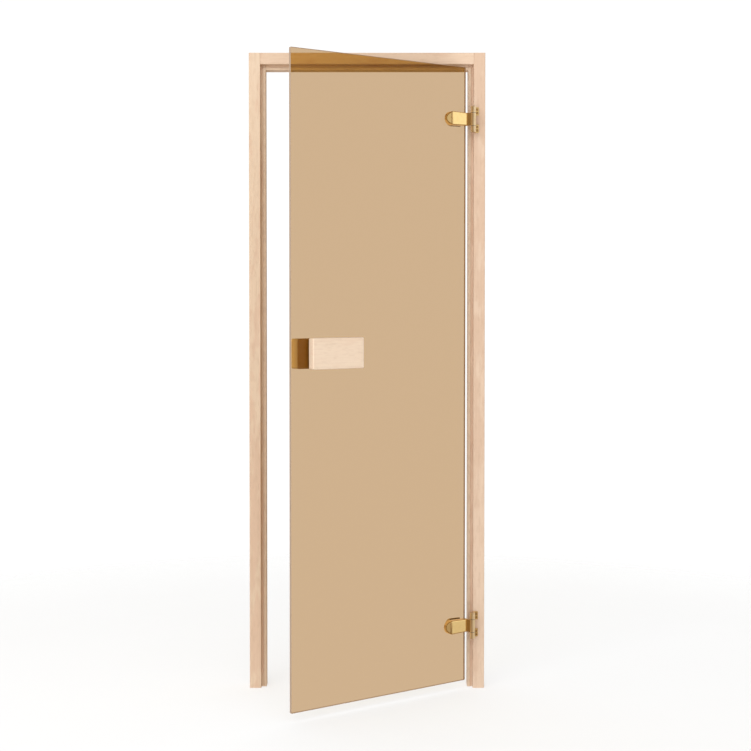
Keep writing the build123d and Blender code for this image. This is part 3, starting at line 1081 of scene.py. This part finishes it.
    def _helper(self, mesh: bmesh.types.BMesh) -> bpy.types.Object:
        """Makes a passing object of a mesh.

        Args:
            mesh: The mesh, which is freed.

        Returns:
            The object, in the scene.
        """
        bmesh.ops.recalc_face_normals(mesh, faces=mesh.faces)
        data = bpy.data.meshes.new("helper")
        mesh.to_mesh(data)
        mesh.free()
        helper = bpy.data.objects.new("helper", data)
        bpy.context.scene.collection.objects.link(helper)
        return helper


@dataclass
class GlassLeaf:
    """The tinted pane with the wood grips on both of its faces.

    Attributes:
        screw_steel: Finish of the bolts.
        rubber: Finish of the rings between wood and glass.
        grips: Each grip with where its tree's heart was.
        grip_pale: Colour of the grips' early wood, which is paler than the frame's.
        grip_rosy: Colour of its warmer patches.
        grip_deep: Colour of its late wood.
    """

    screw_steel: bpy.types.Material
    rubber: bpy.types.Material
    grips: dict[str, tuple[float, float]] = field(
        default_factory=lambda: {
            "handle_outer": (0.93, -0.03),
            "handle_inner": (1.09, 0.02),
        }
    )
    grip_pale: Colour = (0.91, 0.72, 0.545)
    grip_rosy: Colour = (0.88, 0.67, 0.50)
    grip_deep: Colour = (0.70, 0.50, 0.35)

    def finish(self) -> None:
        """Dresses the pane, the grips and what holds them."""
        dress("glass_pane", GlassFinish().material())
        for node, heart in self.grips.items():
            wood = WoodFinish(
                node, Board.ON_LEAF, heart, self.grip_pale, self.grip_deep, self.grip_rosy
            )
            dress(node, wood.material())
        dress("handle_bolts", self.screw_steel)
        dress("handle_rings", self.rubber)


@dataclass(frozen=True)
class Softbox:
    """A large soft lamp that looks at the door.

    Attributes:
        name: Its name.
        place: Where it stands, in metres.
        aim: The point that it looks at.
        size: Its width and height.
        power: Its power, in watts.
        colour: Its colour.
    """

    name: str
    place: tuple[float, float, float]
    aim: tuple[float, float, float]
    size: tuple[float, float]
    power: float
    colour: Colour = (1.0, 1.0, 1.0)

    def switch_on(self) -> None:
        """Adds the lamp."""
        data = bpy.data.lights.new(self.name, "AREA")
        data.shape = "RECTANGLE"
        data.size, data.size_y = self.size
        data.energy = self.power
        data.color = self.colour
        lamp = bpy.data.objects.new(self.name, data)
        lamp.location = self.place
        look = Vector(self.aim) - Vector(self.place)
        lamp.rotation_mode = "QUATERNION"
        lamp.rotation_quaternion = look.to_track_quat("-Z", "Y")
        lamp.visible_camera = False
        lamp.visible_glossy = False
        lamp.visible_transmission = False
        bpy.context.scene.collection.objects.link(lamp)


@dataclass(frozen=True)
class Glow:
    """A soft bright patch in the surround.

    Attributes:
        direction: Where its middle lies.
        strength: How much it adds there.
        spread: Cosines of the angles from its middle where it ends and where it is full.
    """

    direction: tuple[float, float, float]
    strength: float
    spread: tuple[float, float]

    def added(self, bench: Bench, direction: Socket, base: object) -> Socket:
        """Adds the patch to a strength.

        Args:
            bench: The surround in the making.
            direction: The direction that is looked in.
            base: The strength so far.

        Returns:
            The new strength.
        """
        near = bench.facing(direction, Vector(self.direction).normalized())
        return bench.math("ADD", bench.remap(near, *self.spread, 0, self.strength), base)


@dataclass
class Studio:
    """A white room with a pale floor, softboxes and the camera.

    Attributes:
        floor_reach: Where the floor starts to fade and where it has gone, in metres.
        floor_margin: How much further its edge is, in metres.
        floor_sides: How many sides the round floor has.
        floor_colour: The floor's colour.
        floor_lift: How much lighter it is in places.
        floor_waves: Waves of that in a metre.
        floor_roughness: The floor's roughness.
        floor_sheen: Strength of its reflections.
        floor_share: How much of the floor shows over the white surround.
        floor_glow: Strength of the light that the floor gives off.
        white: The surround to the eye.
        white_in_glass: The surround as it is seen through the glass.
        fill: Least strength of the surround as light on matt surfaces.
        light: Its patches on matt surfaces: in front, left, behind, overhead and below.
        dark_mirrored: The surround's darkest parts in reflections.
        bright_mirrored: Its brightest parts in reflections.
        reflectors: Its patches in reflections, as shares of the way from dark to bright.
        low: Heights between which reflections go from dim to full.
        dim: Share of their strength that they keep below.
        camera_place: Where the camera stands, in metres.
        camera_down: How far it looks down, in degrees.
        lens: Its focal length, in millimetres.
        shift: Shift of the frame, in frame widths.
        seen: Nearest and farthest that the camera sees, in metres.
        lamps: The softboxes.
    """

    floor_reach: tuple[float, float] = (1.5, 3.4)
    floor_margin: float = 0.1
    floor_sides: int = 96
    floor_colour: Colour = (0.92, 0.915, 0.905)
    floor_lift: float = 0.012
    floor_waves: float = 1.3
    floor_roughness: float = 0.85
    floor_sheen: float = 0.1
    floor_share: float = 0.5
    floor_glow: float = 0.16
    white: Colour = (1.04, 1.04, 1.04)
    white_in_glass: Colour = (1.067, 1.143, 2.15)
    fill: float = 0.02
    light: tuple[Glow, ...] = (
        Glow((0.0, -1.0, 0.05), 1.15, (-0.1, 1.0)),
        Glow((-1.0, 0.0, 0.0), 0.42, (-0.1, 1.0)),
        Glow((0.1, 1.0, 0.1), 0.8, (0.1, 1.0)),
        Glow((0.0, 0.0, 1.0), 0.25, (-0.1, 1.0)),
        Glow((0.0, 0.0, -1.0), 0.5, (-0.1, 1.0)),
    )
    dark_mirrored: Colour = (0.245, 0.15, 0.07)
    bright_mirrored: Colour = (1.12, 1.15, 1.2)
    reflectors: tuple[Glow, ...] = (
        Glow((0.97, -0.21, 0.12), 1.0, (0.75, 0.97)),
        Glow((-0.02, -1.0, 0.05), 0.48, (0.90, 0.975)),
        Glow((0.7, -0.7, 0.1), 0.38, (0.80, 0.95)),
        Glow((-0.75, 0.65, 0.10), 0.7, (0.3, 0.97)),
    )
    low: tuple[float, float] = (-0.3, 0.15)
    dim: float = 0.58
    camera_place: tuple[float, float, float] = (-0.3679, -4.4233, 1.1699)
    camera_down: float = 1.455
    lens: float = 70.92
    shift: tuple[float, float] = (0.01934, -0.0554)
    seen: tuple[float, float] = (0.05, 100.0)
    lamps: tuple[Softbox, ...] = (
        Softbox("softbox_front", (-1.7, -2.8, 3.1), (-0.35, 0.0, 1.3), (2.0, 1.6), 26.0),
    )

    def build(self) -> None:
        """Adds the floor, the light and the camera."""
        self._lay_floor()
        self._light_surround()
        for lamp in self.lamps:
            lamp.switch_on()
        self._set_camera()
        bpy.context.scene.view_settings.view_transform = "Standard"

    def _lay_floor(self) -> None:
        """Lays a round pale floor that fades out, and that neither glass nor brass shows."""
        low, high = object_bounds()
        middle = Vector(((low.x + high.x) / 2, (low.y + high.y) / 2, 0))
        mesh = bmesh.new()
        edge = self.floor_reach[1] + self.floor_margin
        bmesh.ops.create_circle(mesh, cap_ends=True, segments=self.floor_sides, radius=edge)
        bmesh.ops.translate(mesh, vec=middle, verts=mesh.verts)
        bench = FinishBench("pale_floor")
        tone = bench.remap(bench.noise(bench.place(), self.floor_waves, 3), *NOISE_RANGE, 0, 1)
        lighter = tuple(part + self.floor_lift for part in self.floor_colour)
        bench.feed(bench.shader.inputs["Base Color"], bench.blend(tone, self.floor_colour, lighter))
        bench.shader.inputs["Roughness"].default_value = self.floor_roughness
        bench.shader.inputs["Specular IOR Level"].default_value = self.floor_sheen
        bench.shader.inputs["Emission Color"].default_value = (1, 1, 1, 1)
        bench.shader.inputs["Emission Strength"].default_value = self.floor_glow
        distance = bench.add("VectorMath", operation="DISTANCE")
        bench.feed(distance.inputs[0], bench.place())
        bench.feed(distance.inputs[1], middle)
        shown = bench.remap(distance.outputs["Value"], *self.floor_reach, self.floor_share, 0)
        fade = bench.add("MixShader")
        bench.feed(fade.inputs[0], shown)
        bench.feed(fade.inputs[1], bench.add("BsdfTransparent").outputs[0])
        bench.feed(fade.inputs[2], bench.shader.outputs[0])
        bench.feed(bench.output.inputs["Surface"], fade.outputs[0])
        floor = add_piece("floor", mesh, bench.material)
        floor.visible_glossy = False
        floor.visible_transmission = False
        floor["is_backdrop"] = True

    def _light_surround(self) -> None:
        """Makes the surround white to the eye, soft as light, and livelier in reflections."""
        world = bpy.data.worlds.new("studio")
        world.use_nodes = True
        bpy.context.scene.world = world
        bench = Bench(world.node_tree)
        path = bench.add("LightPath").outputs
        direction = bench.add("TexCoord").outputs["Generated"]
        light, share = self.fill, 0.0
        for glow in self.light:
            light = glow.added(bench, direction, light)
        for glow in self.reflectors:
            share = glow.added(bench, direction, share)
        height = bench.remap(bench.facing(direction, UP), *self.low, self.dim, 1)
        share = bench.math("MULTIPLY", share, height)
        mirrored = bench.blend(share, self.dark_mirrored, self.bright_mirrored)
        colour = bench.blend(path["Is Glossy Ray"], light, mirrored)
        straight = bench.math("LESS_THAN", path["Diffuse Depth"], 0.5)
        straight = bench.math("MULTIPLY", straight, path["Is Transmission Ray"])
        colour = bench.blend(straight, colour, self.white_in_glass)
        colour = bench.blend(path["Is Camera Ray"], colour, self.white)
        bench.feed(bench.tree.nodes["Background"].inputs["Color"], colour)

    def _set_camera(self) -> None:
        """Sets the camera where the photograph was taken from."""
        data = bpy.data.cameras.new("camera")
        data.lens = self.lens
        data.sensor_width = SENSOR_WIDTH
        data.shift_x, data.shift_y = self.shift
        data.clip_start, data.clip_end = self.seen
        camera = bpy.data.objects.new("camera", data)
        camera.location = self.camera_place
        camera.rotation_euler = (math.radians(90 - self.camera_down), 0, 0)
        bpy.context.scene.collection.objects.link(camera)
        bpy.context.scene.camera = camera


def main() -> None:
    """Dresses the door and sets up the studio round it."""
    logging.basicConfig(level=logging.INFO, format="%(message)s")
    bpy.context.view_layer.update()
    rubber = SoftFinish("brown_rubber", (0.085, 0.055, 0.032), (0.12, 0.08, 0.05)).material()
    nylon = SoftFinish("dark_nylon", (0.10, 0.07, 0.045), (0.14, 0.10, 0.07), (0.3, 0.5)).material()
    brass = MetalFinish(
        "polished_brass",
        (0.93, 0.665, 0.28),
        (0.90, 0.63, 0.26),
        (0.08, 0.15),
        # The barrels' paler colour is a painted highlight.
        turned=(0.99, 0.80, 0.50),
    ).material()
    aged = MetalFinish(
        "aged_brass", (0.62, 0.38, 0.15), (0.50, 0.29, 0.11), (0.18, 0.3)
    ).material()
    steel = MetalFinish(
        "satin_steel", (0.60, 0.57, 0.52), (0.48, 0.45, 0.41), (0.25, 0.42)
    ).material()
    pin = MetalFinish("pin_steel", (0.62, 0.50, 0.33), (0.52, 0.40, 0.26), (0.2, 0.32)).material()
    DoorFrame().finish()
    for place in HingePlace:
        hinge = Hinge(place, brass, aged, pin, steel, rubber, nylon)
        hinge.finish()
        hinge.add_screws()
        OuterClamp(place, brass).build()
    GlassLeaf(steel, rubber).finish()
    Studio().build()


if __name__ == "__main__":
    main()
